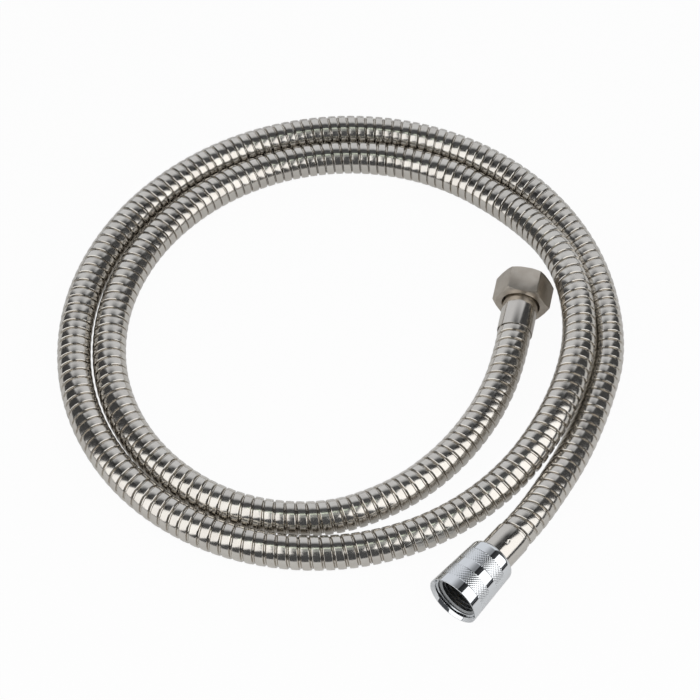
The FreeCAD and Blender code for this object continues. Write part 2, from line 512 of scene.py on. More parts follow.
@dataclass
class Route:
    """The hose's centreline: the control points of one NURBS spline, in millimetres.

    The coil goes clockwise. Where its second loop passes the hexagon nut, it rides up over the
    nut's corner and leans out against the third. The spans of that are in degrees past +X.
    """

    hex_end: HoseEnd
    grip_end: HoseEnd
    centre: tuple[float, float] = (0.2, 14.0)
    first_radius: float = 101.1
    growth_per_turn: float = 16.6
    sideways_shift: float = 6.5
    shift_heading: float = -134.0
    oval_amount: float = 3.2
    oval_heading: float = 46.0
    spiral_start: float = -89.0
    coil_start: float = -116.5
    points_per_turn: int = 16
    coil_points: int = 28
    rest_height: float = 8.0
    ride_lift: float = 11.5
    ride_climb: tuple[float, float] = (-50.0, -12.0)
    ride_descent: tuple[float, float] = (20.0, 70.0)
    lean_out: float = 3.2
    lean_start: tuple[float, float] = (-36.0, -8.0)
    lean_end: tuple[float, float] = (40.0, 80.0)
    lean_ease: float = 0.40
    lean_ease_span: tuple[float, float] = (0.0, 20.0)
    hex_backs: tuple[float, ...] = (-4.0, -20.0, -34.0)
    hex_side: tuple[Point, ...] = (
        (74.5, -19.5, 11.0),
        (64.5, -39.5, 9.0),
        (47.5, -61.5, 8.0),
        (24.0, -80.5, 8.0),
        (-9.0, -93.0, 8.0),
    )
    grip_side: tuple[Point, ...] = (
        (118.5, -29.0, 8.0),
        (107.5, -56.0, 8.0),
        (95.0, -78.5, 10.9),
    )
    grip_backs: tuple[float, ...] = (-43.0, -24.0, -4.0)
    order: int = 3
    resolution: int = 40

    def coil_point(self, index: int) -> Vector:
        """One control point of the coil, counted clockwise as seen from above.

        Args:
            index: its number from the coil's start.

        Returns:
            The point, in millimetres.
        """
        angle = self.coil_start - index * 360.0 / self.points_per_turn
        turns = (self.spiral_start - angle) / 360.0
        past = -angle - 360.0
        lift = ease(past, self.ride_climb) * (1 - ease(past, self.ride_descent))
        lean = ease(past, self.lean_start) * (1 - ease(past, self.lean_end))
        lean *= 1 - self.lean_ease * ease(past, self.lean_ease_span)
        radius = self.first_radius + self.growth_per_turn * turns + self.lean_out * lean
        radius += self.sideways_shift * math.cos(math.radians(angle - self.shift_heading))
        radius += self.oval_amount * math.cos(math.radians(2 * (angle - self.oval_heading)))
        outside = radius / math.cos(math.pi / self.points_per_turn)
        floor_point = Vector((self.centre[0], self.centre[1], 0.0)) + heading(angle) * outside
        return floor_point + UP * (self.rest_height + self.ride_lift * lift)

    def control_points(self) -> list[Vector]:
        """Every control point from the hexagon nut to the grip nut, in metres."""
        points = [self.hex_end.at(back) for back in self.hex_backs]
        points += [Vector(point) for point in self.hex_side]
        points += [self.coil_point(index) for index in range(self.coil_points)]
        points += [Vector(point) for point in self.grip_side]
        points += [self.grip_end.at(back) for back in self.grip_backs]
        return [point * MM for point in points]

    def line(self) -> np.ndarray:
        """Points read from the spline, close together along the whole hose.

        Returns:
            One row of three coordinates for each point, in metres.
        """
        curve = bpy.data.curves.new("hose_route", "CURVE")
        curve.dimensions = "3D"
        curve.resolution_u = self.resolution
        points = self.control_points()
        spline = curve.splines.new("NURBS")
        spline.points.add(len(points) - 1)
        for place, point in zip(spline.points, points):
            place.co = (*point, 1.0)
        spline.order_u = self.order
        spline.use_endpoint_u = True
        holder = bpy.data.objects.new("hose_route", curve)
        bpy.context.collection.objects.link(holder)
        bpy.context.view_layer.update()
        mesh = bpy.data.meshes.new_from_object(holder)
        line = np.array([vertex.co for vertex in mesh.vertices])
        bpy.data.objects.remove(holder)
        bpy.data.meshes.remove(mesh)
        return line


class Stations:
    """Centres, frames and curvature anywhere along a line of points."""

    def __init__(self, line: np.ndarray, smoothing: int = 31) -> None:
        """Measures the line.

        Args:
            line: its points, in metres.
            smoothing: how many points, an odd number, each curvature is averaged over.
        """
        steps = np.linalg.norm(np.diff(line, axis=0), axis=1)
        self.line = line
        self.along = np.concatenate([[0.0], np.cumsum(steps)])
        self.length = float(self.along[-1])
        self.tangents = np.gradient(line, self.along, axis=0)
        self.tangents /= np.linalg.norm(self.tangents, axis=1)[:, None]
        bends = np.gradient(self.tangents, self.along, axis=0)
        window = np.ones(smoothing) / smoothing
        margin = smoothing // 2
        padded = np.pad(bends, ((margin, margin), (0, 0)), mode="edge")
        self.bends = np.stack([np.convolve(axis, window, "valid") for axis in padded.T], 1)

    def read(self, values: np.ndarray, along: np.ndarray) -> np.ndarray:
        """Interpolates rows of values at these distances along the line.

        Args:
            values: three values for each point of the line.
            along: the distances, in any shape.

        Returns:
            Three values for each distance.
        """
        flat = along.ravel()
        parts = [np.interp(flat, self.along, values[:, axis]) for axis in range(3)]
        return np.stack(parts, axis=-1).reshape(along.shape + (3,))

    def frame_at(self, along: np.ndarray) -> tuple[np.ndarray, np.ndarray, np.ndarray]:
        """Centre, the way up square to the line, and the way across, at each distance.

        Args:
            along: the distances, in any shape.

        Returns:
            Three arrays of vectors.
        """
        tangent = self.read(self.tangents, along)
        tangent /= np.linalg.norm(tangent, axis=-1)[..., None]
        up = np.array(UP) - tangent * tangent[..., 2:3]
        up /= np.linalg.norm(up, axis=-1)[..., None]
        return self.read(self.line, along), up, np.cross(tangent, up)


def rays(theta: np.ndarray, up: np.ndarray, across: np.ndarray) -> np.ndarray:
    """Unit vectors square to a line, at these angles from the way up in its frames."""
    return np.cos(theta)[..., None] * up + np.sin(theta)[..., None] * across


class Row(Enum):
    """The lines along the strip, in their order across one turn of it."""

    CREST_FOOT = 0
    CREST_SHOULDER = 1
    CREST_START = 2
    CREST_MIDDLE = 3
    CREST_END = 4
    CREST_FAR_SHOULDER = 5
    CREST_FAR_FOOT = 6
    FIRST_SLOT = 7
    LAND_START = 8
    LAND_END = 9
    SECOND_SLOT = 10

    @classmethod
    def bright(cls) -> set[int]:
        """The numbers of the rows that a polished face starts from, on the crest and the land;
        faces from the other rows get painted shade.
        """
        painted_shade_rows = {cls.CREST_FAR_FOOT, cls.FIRST_SLOT, cls.LAND_END, cls.SECOND_SLOT}
        return {row.value for row in cls if row not in painted_shade_rows}


@dataclass
class StripWoundSheath:
    """The outer sheath: one strip wound in a right-hand helix, each turn locked in the next.

    A turn shows a wide raised crest, then a slot, a narrow lower land and a second slot.
    The crest keeps its width in a bend, so the slots open outside it and close inside it.
    The coil was pulled a little open towards the front, so the pitch is smaller at the back.
    """

    stations: Stations
    diameter: float = 16.0
    turns: int = 333
    spare_turns: int = 2
    columns: int = 26
    pitch_fall: float = 0.41
    crest_share: float = 0.80
    shoulder: float = 0.12
    crest_edge: float = 0.34
    shoulder_drop: float = 0.26
    crest_drop: float = 0.08
    foot_drop: float = 0.72
    land_drop: float = 0.82
    slot_drop: float = 1.20
    slot_shares: tuple[float, float, float, float] = (0.16, 0.35, 0.66, 0.85)
    bore_radius: float = 6.1
    bore_rings: int = 90
    height_play: float = 0.02
    seed: int = 11
    crease_deg: float = 27.0
    merge: float = 0.001

    def build(self) -> bpy.types.Object:
        """Winds the strip along the route and closes it with its bore, as one piece.

        Returns:
            The sheath, dressed.
        """
        length = self.stations.length
        row = np.arange((self.turns + self.spare_turns) * len(Row) + 1)
        kind = row % len(Row)
        turn = row // len(Row) - 1
        angle = np.arange(self.columns + 1) / self.columns
        wound = turn[:, None] + angle[None, :]
        centre, pitch = self._wind(wound)
        theta = np.broadcast_to(angle * math.tau, centre.shape)
        place = centre + self._shifts(kind, centre, pitch, theta)
        outside = (place <= 0.0) | (place >= length)
        place = np.clip(place, 0.0, length)
        drop = self._drops(kind, turn)
        radius = (self.diameter / 2 - drop)[:, None] * MM * np.ones_like(place)
        radius[outside] = (self.diameter / 2 - self.slot_drop) * MM
        centres, up, across = self.stations.frame_at(place)
        points = centres + radius[..., None] * rays(theta, up, across)
        piece = bpy.data.objects.new("hose_sheath", self._mesh(points, place, wound))
        bpy.context.collection.objects.link(piece)
        self._close_doubles(piece)
        smooth(piece, self.crease_deg)
        # The second finish is painted shade on the lock's walls and slots and on the bore.
        dress(piece, ROLLED_STRIP, SLOT_PAINTED_SHADE)
        return piece

    def _wind(self, wound: np.ndarray) -> tuple[np.ndarray, np.ndarray]:
        """Finds the distance along the line, and the pitch there, after so many turns.

        Args:
            wound: turns from the start, in any shape.

        Returns:
            The distances and the pitches, in metres.
        """
        stations = self.stations
        pitch = 1 - self.pitch_fall * stations.line[:, 1]
        steps = np.diff(stations.along) * 2 / (pitch[1:] + pitch[:-1])
        known = np.concatenate([[0.0], np.cumsum(steps)])
        scale = self.turns / known[-1]
        known *= scale
        pitch /= scale
        spare = float(self.spare_turns)
        known = np.concatenate([[-spare], known, [self.turns + spare]])
        along = np.concatenate(
            [[-spare * pitch[0]], stations.along, [stations.length + spare * pitch[-1]]]
        )
        pitch = np.concatenate([pitch[:1], pitch, pitch[-1:]])
        return np.interp(wound, known, along), np.interp(wound, known, pitch)

    def _shifts(
        self, kind: np.ndarray, centre: np.ndarray, pitch: np.ndarray, theta: np.ndarray
    ) -> np.ndarray:
        """How far each point lies along the line from the middle of its crest.

        Args:
            kind: the number of each line across the strip.
            centre: the distance along the line of each point's crest.
            pitch: the pitch there, on the line itself.
            theta: each point's angle round the line.

        Returns:
            The shifts in metres of the line's own length.
        """
        held = np.clip(centre, 0.0, self.stations.length)
        _, up, across = self.stations.frame_at(held)
        outward = rays(theta, up, across)
        bend = self.stations.read(self.stations.bends, held)
        stretch = 1 - self.diameter / 2 * MM * np.sum(outward * bend, axis=-1)
        half = self.crest_share / 2 * pitch / stretch
        shoulder = self.shoulder * MM / stretch
        edge = self.crest_edge * MM / stretch
        gap = pitch - 2 * half
        shifts = [-half, -half + shoulder, -half + edge, np.zeros_like(half)]
        shifts += [half - edge, half - shoulder, half]
        shifts += [half + share * gap for share in self.slot_shares]
        return np.select([kind[:, None] == row.value for row in Row], shifts)

    def _drops(self, kind: np.ndarray, turn: np.ndarray) -> np.ndarray:
        """How far each line of the strip lies inside its crest, with a little play per turn.

        Args:
            kind: the number of each line across the strip.
            turn: the turn that it belongs to.

        Returns:
            The drops, in millimetres.
        """
        crest = [self.foot_drop, self.shoulder_drop, self.crest_drop]
        land = [self.slot_drop, self.land_drop]
        drops = np.array(crest + [0.0] + crest[::-1] + land + land[::-1])
        size = (self.turns + self.spare_turns + 1, len(Row))
        play = np.random.default_rng(self.seed).uniform(-1, 1, size)
        drop = drops[kind] + self.height_play * (play[turn + 1, kind] + 1)
        drop[kind == Row.CREST_MIDDLE.value] = 0.0
        return drop

    def _mesh(self, points: np.ndarray, place: np.ndarray, wound: np.ndarray) -> bpy.types.Mesh:
        """Joins the wound grid, the plain bore and the two end rings in one closed mesh.

        Args:
            points: the grid's points, one row for each line along the strip.
            place: their distances along the route.
            wound: their turns from the start.

        Returns:
            The mesh, with its two materials' numbers and the strip's own UV map.
        """
        columns, rows = self.columns, len(Row)
        girth = math.pi * self.diameter * MM
        bright = Row.bright()
        outer = points[:, :columns].reshape(-1, 3)
        faces, uvs, materials = [], [], []
        for number in range(len(points) - 1 - rows):
            for column in range(columns):
                here = number * columns + column
                beside = here + 1 if column + 1 < columns else (number + rows) * columns
                faces.append((here, beside, beside + columns, here + columns))
                spots = ((number, column), (number, column + 1))
                spots += ((number + 1, column + 1), (number + 1, column))
                uvs += [(wound[spot] * girth, place[spot]) for spot in spots]
                # Faces from the other rows get the painted shade.
                materials.append(0 if number % rows in bright else 1)
        bore, bore_faces = self._bore(len(outer))
        faces += bore_faces
        uvs += [(0.0, 0.0)] * (4 * len(bore_faces))
        # The bore gets the painted shade too.
        materials += [1] * len(bore_faces)
        mesh = bpy.data.meshes.new("hose_sheath")
        mesh.from_pydata(np.concatenate([outer, bore]).tolist(), [], faces)
        layer = mesh.uv_layers.new(name="strip")
        layer.data.foreach_set("uv", np.array(uvs, dtype=np.float32).ravel())
        mesh.polygons.foreach_set("material_index", np.array(materials, dtype=np.int32))
        return mesh

    def _bore(self, first: int) -> tuple[np.ndarray, list[tuple]]:
        """The plain bore, with a ring at each end out to the slots.

        Args:
            first: the number that the bore's first point gets.

        Returns:
            The points and the faces.
        """
        columns, length = self.columns, self.stations.length
        theta = np.arange(columns) / columns * math.tau
        along = np.linspace(0.0, length, self.bore_rings + 1)
        along = np.concatenate([[0.0], along, [length]])
        radii = np.full(len(along), self.bore_radius * MM)
        radii[0] = radii[-1] = (self.diameter / 2 - self.slot_drop) * MM
        centres, up, across = self.stations.frame_at(along)
        ray = rays(theta[None, :], up[:, None], across[:, None])
        points = centres[:, None] + radii[:, None, None] * ray
        faces = []
        for ring in range(len(along) - 1):
            for column in range(columns):
                after = (column + 1) % columns
                low, high = first + ring * columns, first + (ring + 1) * columns
                faces.append((low + column, high + column, high + after, low + after))
        return points.reshape(-1, 3), faces

    def _close_doubles(self, piece: bpy.types.Object) -> None:
        """Merges points that lie on each other, and drops what collapses at the ends.

        Args:
            piece: the sheath.
        """
        make_active(piece)
        with edit_mode():
            bpy.ops.mesh.remove_doubles(threshold=self.merge * MM)
            bpy.ops.mesh.delete_loose(use_verts=True, use_edges=True, use_faces=False)


# The ends


@dataclass
class UnionThread:
    """G1/2 pipe thread as one raised turn after another, inside a nut."""

    minor_radius: float = 9.3155
    major_radius: float = 10.4775
    pitch: float = 1.814
    crest: float = 0.32
    root_share: float = 0.9
    buried: float = 0.12
    steps_per_turn: int = 72

    def build(self, name: str, start: float, end: float) -> bpy.types.Object:
        """Winds the thread's ridge from one height to another.

        Args:
            name: the new object's name.
            start: the lowest height of the ridge, in millimetres.
            end: its highest height.

        Returns:
            The ridge as one closed helical solid.
        """
        base = self.pitch * self.root_share
        turns = (end - start - base) / self.pitch
        deselect()
        bpy.ops.mesh.primitive_plane_add(size=MM, location=(0.0, 0.0, 0.0))
        piece = bpy.context.object
        piece.name = name
        middle = start + base / 2
        root = self.major_radius + self.buried
        corners = [(root, middle - base / 2), (root, middle + base / 2)]
        corners += [(self.minor_radius, middle + self.crest / 2)]
        corners += [(self.minor_radius, middle - self.crest / 2)]
        for vertex, corner in zip(piece.data.polygons[0].vertices, corners):
            piece.data.vertices[vertex].co = (corner[0] * MM, 0.0, corner[1] * MM)
        with edit_mode():
            bpy.ops.mesh.delete(type="ONLY_FACE")
        screw = piece.modifiers.new("thread", "SCREW")
        screw.axis = "Z"
        screw.angle = math.tau * turns
        screw.screw_offset = self.pitch * turns * MM
        screw.steps = screw.render_steps = round(self.steps_per_turn * turns)
        screw.use_merge_vertices = False
        bpy.ops.object.modifier_apply(modifier=screw.name)
        with edit_mode("DESELECT"):
            bpy.ops.mesh.select_mode(type="EDGE")
            bpy.ops.mesh.select_non_manifold(use_wire=False, use_multi_face=False)
            bpy.ops.mesh.fill_holes(sides=4)
            bpy.ops.mesh.select_all(action="SELECT")
            bpy.ops.mesh.normals_make_consistent(inside=False)
            bpy.ops.mesh.select_mode(type="VERT")
        return piece


@dataclass
class Sleeve:
    """A thin ferrule pressed over the hose, with a lip turned in behind the nipple's flange.

    A sleeve can have one punch mark, given by its place along the end and its angle round it.
    """

    end: HoseEnd
    name: str
    node: str
    length: float
    outer_radius: float = 8.45
    wall: float = 0.35
    front: float = -2.2
    lip: float = 1.2
    lip_bore: float = 6.2
    back_round: float = 0.16
    front_round: float = 0.5
    inner_round: float = 0.12
    steps: int = 240
    dimple: tuple[float, float] | None = None
    dimple_size: Point = (1.6, 0.75, 0.36)
    dimple_floor: float = 0.35
    dimple_margin: float = 1.3
    dimple_rows: int = 19

    def build(self) -> bpy.types.Object:
        """Turns the sleeve with rolled edges, presses its punch mark and places it.

        Returns:
            The sleeve, dressed and in place.
        """
        inner = self.outer_radius - self.wall
        back = -self.length
        profile = [(self.outer_radius, back), (self.outer_radius, self.front)]
        profile += [(self.lip_bore, self.front), (self.lip_bore, self.front - self.lip)]
        profile += [(inner, self.front - self.lip), (inner, back)]
        roundings = {0: self.back_round, 1: self.front_round, 5: self.inner_round}
        profile = rounded(profile, roundings)
        if self.dimple:
            reach = self.dimple_size[0] * self.dimple_margin
            steps = np.linspace(-reach, reach, self.dimple_rows).tolist()
            wall = outer_wall(profile) + 1
            profile[wall:wall] = [(self.outer_radius, self.dimple[0] + step) for step in steps]
        piece = turned(self.name, profile, self.steps)
        if self.dimple:
            self._press(piece)
        smooth(piece)
        self.end.stand(piece)
        dress(piece, POLISHED_SLEEVE)
        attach(piece, "root")
        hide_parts(self.node)
        return piece

    def _press(self, piece: bpy.types.Object) -> None:
        """Presses one small oval mark into the outer wall.

        Args:
            piece: the sleeve, still about +Z.
        """
        along, angle = self.dimple
        length, width, depth = self.dimple_size
        for vertex in piece.data.vertices:
            radius = math.hypot(vertex.co.x, vertex.co.y) / MM
            if radius < self.outer_radius - NEAR_MM:
                continue
            turn = math.atan2(vertex.co.y, vertex.co.x) - math.radians(angle)
            across = math.remainder(turn, math.tau) * self.outer_radius
            off = math.hypot((vertex.co.z / MM - along) / length, across / width)
            if off < 1.0:
                scale = 1 - depth * (1 - ease(off, (self.dimple_floor, 1.0))) / radius
                vertex.co.x *= scale
                vertex.co.y *= scale


@dataclass
class Seal:
    """A flat rubber washer with rounded edges."""

    end: HoseEnd
    name: str
    node: str
    outer_radius: float = 9.1155
    bore_radius: float = 5.0
    thickness: float = 1.8
    outer_round: float = 0.3
    inner_round: float = 0.2
    steps: int = 72

    def build(self) -> bpy.types.Object:
        """Turns the washer and places it on the nipple's flange.

        Returns:
            The washer, dressed and in place.
        """
        profile = [(self.bore_radius, 0.0), (self.outer_radius, 0.0)]
        profile += [(self.outer_radius, self.thickness), (self.bore_radius, self.thickness)]
        inner, outer = self.inner_round, self.outer_round
        profile = rounded(profile, {0: inner, 1: outer, 2: outer, 3: inner})
        piece = turned(self.name, profile, self.steps)
        smooth(piece)
        self.end.stand(piece)
        dress(piece, BLACK_RUBBER)
        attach(piece, "root")
        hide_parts(self.node)
        return piece


@dataclass
class HexUnion:
    """The hexagon union nut, with 30 degree chamfers, and its thread."""

    end: HoseEnd
    across_flats: float = 24.0
    back: float = -5.12
    length: float = 13.8
    chamfer_radius: float = 12.2
    chamfer_deg: float = 30.0
    hole_radius: float = 8.75
    step: float = -2.92
    seat: float = 1.8
    lead: float = 0.5
    countersink: float = 0.55
    countersink_depth: float = 0.9
    edge_round: float = 0.16
    steps: int = 144
    overshoot: float = 1.0

    def build(self) -> list[bpy.types.Object]:
        """Makes the nut and its thread.

        Returns:
            The nut and the ridge of its thread, dressed and in place.
        """
        corner = self.across_flats / 2 / math.cos(math.pi / 6)
        mouth = self.back + self.length
        deselect()
        bpy.ops.mesh.primitive_cylinder_add(
            vertices=6,
            radius=corner * MM,
            depth=self.length * MM,
            location=(0.0, 0.0, (self.back + mouth) / 2 * MM),
        )
        nut = bpy.context.object
        nut.name = "hex_union_nut"
        bpy.ops.object.transform_apply(location=True, rotation=True, scale=True)
        cut(nut, turned("hex_envelope", self._envelope(corner, mouth), self.steps), "INTERSECT")
        thread = UnionThread()
        cavity = self._cavity(thread.major_radius, mouth)
        cut(nut, turned("hex_cavity", cavity, self.steps), "DIFFERENCE")
        soften(nut, self.edge_round)
        smooth(nut)
        ridge = thread.build("hex_union_thread", self.seat, mouth - self.lead)
        smooth(ridge)
        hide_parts("hex_nut")
        for piece in (nut, ridge):
            self.end.stand(piece)
            dress(piece, SATIN_NICKEL)
            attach(piece, "hex_union")
        return [nut, ridge]

    def _envelope(self, corner: float, mouth: float) -> Profile:
        """The turned outline that gives a hexagon of this corner radius its chamfers.

        Args:
            corner: the hexagon's radius over its corners.
            mouth: the height of its front.

        Returns:
            The outline of what is kept.
        """
        drop = (corner - self.chamfer_radius) * math.tan(math.radians(self.chamfer_deg))
        wide = corner + self.overshoot
        fall = drop * (wide - self.chamfer_radius) / (corner - self.chamfer_radius)
        lower = [(0.0, self.back), (self.chamfer_radius, self.back), (wide, self.back + fall)]
        return lower + [(wide, mouth - fall), (self.chamfer_radius, mouth), (0.0, mouth)]

    def _cavity(self, bore: float, mouth: float) -> Profile:
        """The turned hollow: the hole for the ferrule, then this bore and its lead-in.

        Args:
            bore: the radius of the thread's bore.
            mouth: the height of the front.

        Returns:
            The outline of what is cut away.
        """
        below, above = self.back - self.overshoot, mouth + self.overshoot
        rim, lead = self.hole_radius + self.countersink, bore + self.lead
        hole = [(0.0, below), (rim, below), (rim, self.back)]
        hole += [(self.hole_radius, self.back + self.countersink_depth)]
        hole += [(self.hole_radius, self.step)]
        thread = [(bore, self.step), (bore, mouth - self.lead)]
        return hole + thread + [(lead, mouth), (lead, above), (0.0, above)]


@dataclass
class GripUnion:
    """The round tapered union nut, with two knurled bands and a recessed mouth."""

    end: HoseEnd
    back: float = -16.5
    front: float = 13.0
    back_radius: float = 11.0
    mouth_radius: float = 12.85
    shoulder: float = 2.4
    recess_radius: float = 11.1
    recess_depth: float = 2.5
    hole_radius: float = 8.75
    step: float = -2.92
    seat: float = 1.8
    bands: tuple[tuple[float, float], ...] = ((-10.2, -3.5), (1.2, 7.9))
    teeth: int = 60
    columns_per_tooth: int = 6
    diamonds_per_band: int = 5
    rows_per_diamond: int = 6
    knurl_depth: float = 0.16
    groove_share: float = 0.30
    support: float = 0.06
    rim_width: float = 0.35
    rim_cone_depth: float = 1.3
    hole_round: float = 0.3
    rim_round: float = 0.16
    cone_round: float = 0.5
    round_steps: int = 6
    thread_end: float = 0.2
    inside_radius: float = 10.6

    def build(self) -> list[bpy.types.Object]:
        """Makes the nut and its thread.

        Returns:
            The nut and the ridge of its thread, dressed and in place.
        """
        thread = UnionThread()
        floor = self.front - self.recess_depth
        profile = [(self.hole_radius, self.back), (self.back_radius, self.back)]
        profile += [(self.mouth_radius, self.front)]
        profile += [(self.mouth_radius - self.rim_width, self.front)]
        profile += [(self.recess_radius, self.front - self.rim_cone_depth)]
        profile += [(self.recess_radius, floor), (thread.major_radius, floor)]
        profile += [(thread.major_radius, self.step), (self.hole_radius, self.step)]
        roundings = {0: self.hole_round, 1: self.shoulder, 2: self.rim_round}
        roundings |= {3: self.rim_round, 4: self.cone_round, 6: self.hole_round}
        profile = rounded(profile, roundings, self.round_steps)
        foot = outer_wall(profile)
        head = foot + 1
        profile[head:head] = self._wall_rows(profile[foot][1], profile[head][1])
        nut = turned("grip_union_nut", profile, self.teeth * self.columns_per_tooth)
        self._knurl(nut)
        smooth(nut)
        ridge = thread.build("grip_union_thread", self.seat, floor - self.thread_end)
        smooth(ridge)
        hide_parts("grip_nut")
        dress(nut, BRIGHT_CHROME, DULL_CHROME_PAINTED_SHADE)
        dress(ridge, DULL_CHROME_PAINTED_SHADE)
        # Faces inside this radius get the darker plate, which is painted shade.
        for face in nut.data.polygons:
            if math.hypot(face.center.x, face.center.y) < self.inside_radius * MM:
                face.material_index = 1
        for piece in (nut, ridge):
            self.end.stand(piece)
            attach(piece, "grip_union")
        return [nut, ridge]

    def outer_radius(self, height: float) -> float:
        """The radius of the tapered outside at this height."""
        share = (height - self.back) / (self.front - self.back)
        return self.back_radius + (self.mouth_radius - self.back_radius) * share

    def _wall_rows(self, low: float, high: float) -> Profile:
        """Points up the tapered outside, close together in the knurled bands.

        Args:
            low: where the rounding behind the wall ends.
            high: where the rounding at its mouth begins.

        Returns:
            Their radii and heights, with a row beside each band's and the wall's own ends.
        """
        heights = [low + self.support]
        for start, end in self.bands:
            rows = self.diamonds_per_band * self.rows_per_diamond
            heights.append(start - self.support)
            heights += np.linspace(start, end, rows + 1).tolist()
            heights.append(end + self.support)
        heights.append(high - self.support)
        return [(self.outer_radius(height), height) for height in heights]

    def _knurl(self, nut: bpy.types.Object) -> None:
        """Presses crossing V grooves into both bands, so that small diamonds stand.

        Args:
            nut: the turned nut, still about +Z.
        """
        for vertex in nut.data.vertices:
            height = vertex.co.z / MM
            radius = math.hypot(vertex.co.x, vertex.co.y) / MM
            if abs(radius - self.outer_radius(height)) > 2 * NEAR_MM:
                continue
            for low, high in self.bands:
                if low + NEAR_MM < height < high - NEAR_MM:
                    turn = math.atan2(vertex.co.y, vertex.co.x) / math.tau * self.teeth
                    rise = (height - low) / (high - low) * self.diamonds_per_band
                    off = min(abs(math.remainder(turn + way * rise, 1.0)) for way in (1, -1))
                    depth = self.knurl_depth * max(0.0, 1 - off / self.groove_share)
                    vertex.co.x *= 1 - depth / radius
                    vertex.co.y *= 1 - depth / radius


# Studio


@dataclass(frozen=True)
class Softbox:
    """A rectangular lamp given by one corner and two edges, in metres."""

    name: str
    corner: Point
    first_edge: Point
    second_edge: Point
    brightness: float
    colour: str = WHITE

    def place(self) -> None:
        """Adds the lamp, facing the object and unseen by the camera."""
        first, second = Vector(self.first_edge), Vector(self.second_edge)
        middle = Vector(self.corner) + (first + second) / 2
        if first.cross(second).dot(middle) < 0:
            first, second = second, first
        lamp = bpy.data.lights.new(self.name, "AREA")
        lamp.shape = "RECTANGLE"
        lamp.color = linear(self.colour)[:3]
        lamp.size = first.length
        lamp.size_y = second.length
        lamp.energy = self.brightness * WATTS_PER_AREA * first.length * second.length
        holder = bpy.data.objects.new(self.name, lamp)
        x = first.normalized()
        z = first.cross(second).normalized()
        turn = Matrix((x, z.cross(x), z)).transposed().to_4x4()
        holder.matrix_world = Matrix.Translation(middle) @ turn
        holder.visible_camera = False
        bpy.context.collection.objects.link(holder)


